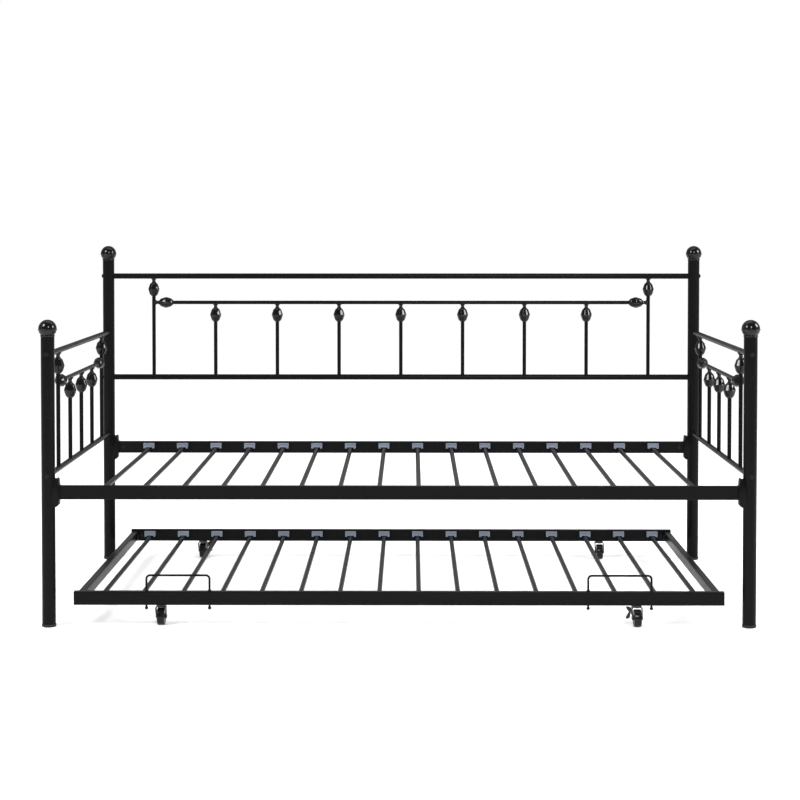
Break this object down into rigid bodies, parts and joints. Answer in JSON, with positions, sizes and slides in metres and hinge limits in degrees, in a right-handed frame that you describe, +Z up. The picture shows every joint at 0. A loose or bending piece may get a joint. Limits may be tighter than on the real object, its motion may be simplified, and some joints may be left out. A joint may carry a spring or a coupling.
{
  "type": "trundle bed",
  "caption": "Black tubular steel daybed with faceted ornaments and ball finials, and a low slatted trundle on swivel casters beneath it.",
  "frame": {"origin": "on the floor, midway between the four feet", "axes": "+X along the bed's length, +Y from the open front to the back panel, +Z up"},
  "size_m": [2.004, 1.0769, 1.0475],
  "materials": {
    "black_powder_coat": "satin black powder coat on steel tube",
    "gloss_black_plastic": "gloss black moulded plastic",
    "black_plastic": "matte black moulded plastic",
    "wheel_plastic": "hard black nylon, slightly glossy",
    "grey_plastic": "blue-grey moulded plastic",
    "zinc_steel": "zinc-plated steel",
    "black_fastener": "black finished steel"
  },
  "bodies": {
    "daybed": {"post_front_left": "black_powder_coat", "post_front_right": "black_powder_coat", "post_back_left": "black_powder_coat", "post_back_right": "black_powder_coat", "finials": "gloss_black_plastic", "foot_plugs": "black_plastic", "back_top_rail": "black_powder_coat", "back_bottom_rail": "black_powder_coat", "back_inner_rail": "black_powder_coat", "back_outer_bars": "black_powder_coat", "back_spindles": "black_powder_coat", "back_ornaments": "gloss_black_plastic", "left_side_top_rail": "black_powder_coat", "left_side_bottom_rail": "black_powder_coat", "left_side_inner_rail": "black_powder_coat", "left_side_outer_bars": "black_powder_coat", "left_side_spindles": "black_powder_coat", "left_side_ornaments": "gloss_black_plastic", "right_side_top_rail": "black_powder_coat", "right_side_bottom_rail": "black_powder_coat", "right_side_inner_rail": "black_powder_coat", "right_side_outer_bars": "black_powder_coat", "right_side_spindles": "black_powder_coat", "right_side_ornaments": "gloss_black_plastic", "panel_bolts": "black_fastener", "panel_rail_inserts": "zinc_steel", "deck_front_rail": "black_powder_coat", "deck_back_rail": "black_powder_coat", "deck_slats": "black_powder_coat", "rail_brackets": "black_powder_coat", "deck_slat_holders": "grey_plastic", "rail_bolts": "black_fastener"},
    "trundle": {"trundle_front_rail": "black_powder_coat", "trundle_back_rail": "black_powder_coat", "trundle_left_rail": "black_powder_coat", "trundle_right_rail": "black_powder_coat", "trundle_slats": "black_powder_coat", "trundle_corner_brackets": "black_powder_coat", "trundle_slat_holders": "grey_plastic", "trundle_corner_bolts": "black_fastener", "trundle_end_plugs": "black_plastic", "mattress_stop_left": "black_powder_coat", "mattress_stop_right": "black_powder_coat", "mattress_stop_nuts": "black_fastener", "caster_stems": "zinc_steel", "caster_stem_nuts": "zinc_steel"},
    "swivel_front_left": {"caster_front_left_fork": "zinc_steel", "caster_front_left_axle": "zinc_steel"},
    "wheel_front_left": {"caster_front_left_wheel": "wheel_plastic"},
    "swivel_front_right": {"caster_front_right_fork": "zinc_steel", "caster_front_right_axle": "zinc_steel"},
    "wheel_front_right": {"caster_front_right_wheel": "wheel_plastic"},
    "brake_front_right": {"brake_lever_front_right": "black_plastic"},
    "swivel_back_left": {"caster_back_left_fork": "zinc_steel", "caster_back_left_axle": "zinc_steel"},
    "wheel_back_left": {"caster_back_left_wheel": "wheel_plastic"},
    "brake_back_left": {"brake_lever_back_left": "black_plastic"},
    "swivel_back_right": {"caster_back_right_fork": "zinc_steel", "caster_back_right_axle": "zinc_steel"},
    "wheel_back_right": {"caster_back_right_wheel": "wheel_plastic"}
  },
  "joints": [
    {"name": "trundle_slide", "type": "slide", "parent": "daybed", "child": "trundle", "axis": [0, -1, 0], "range_m": [0, 1.05]},
    {"name": "swivel_front_left", "type": "hinge", "parent": "trundle", "child": "swivel_front_left", "pos_m": [-0.665, -0.483, 0.052], "axis": [0, 0, 1], "continuous": true},
    {"name": "roll_front_left", "type": "hinge", "parent": "swivel_front_left", "child": "wheel_front_left", "pos_m": [-0.665, -0.474, 0.024], "axis": [1, 0, 0], "continuous": true},
    {"name": "swivel_front_right", "type": "hinge", "parent": "trundle", "child": "swivel_front_right", "pos_m": [0.665, -0.483, 0.052], "axis": [0, 0, 1], "continuous": true},
    {"name": "roll_front_right", "type": "hinge", "parent": "swivel_front_right", "child": "wheel_front_right", "pos_m": [0.665, -0.492, 0.024], "axis": [1, 0, 0], "continuous": true},
    {"name": "brake_front_right", "type": "hinge", "parent": "swivel_front_right", "child": "brake_front_right", "pos_m": [0.646, -0.489, 0.042], "axis": [0, -1, 0], "range_deg": [0, 12]},
    {"name": "swivel_back_left", "type": "hinge", "parent": "trundle", "child": "swivel_back_left", "pos_m": [-0.665, 0.517, 0.052], "axis": [0, 0, 1], "continuous": true},
    {"name": "roll_back_left", "type": "hinge", "parent": "swivel_back_left", "child": "wheel_back_left", "pos_m": [-0.665, 0.526, 0.024], "axis": [1, 0, 0], "continuous": true},
    {"name": "brake_back_left", "type": "hinge", "parent": "swivel_back_left", "child": "brake_back_left", "pos_m": [-0.646, 0.523, 0.042], "axis": [0, 1, 0], "range_deg": [0, 12]},
    {"name": "swivel_back_right", "type": "hinge", "parent": "trundle", "child": "swivel_back_right", "pos_m": [0.665, 0.517, 0.052], "axis": [0, 0, 1], "continuous": true},
    {"name": "roll_back_right", "type": "hinge", "parent": "swivel_back_right", "child": "wheel_back_right", "pos_m": [0.665, 0.508, 0.024], "axis": [1, 0, 0], "continuous": true}
  ]
}
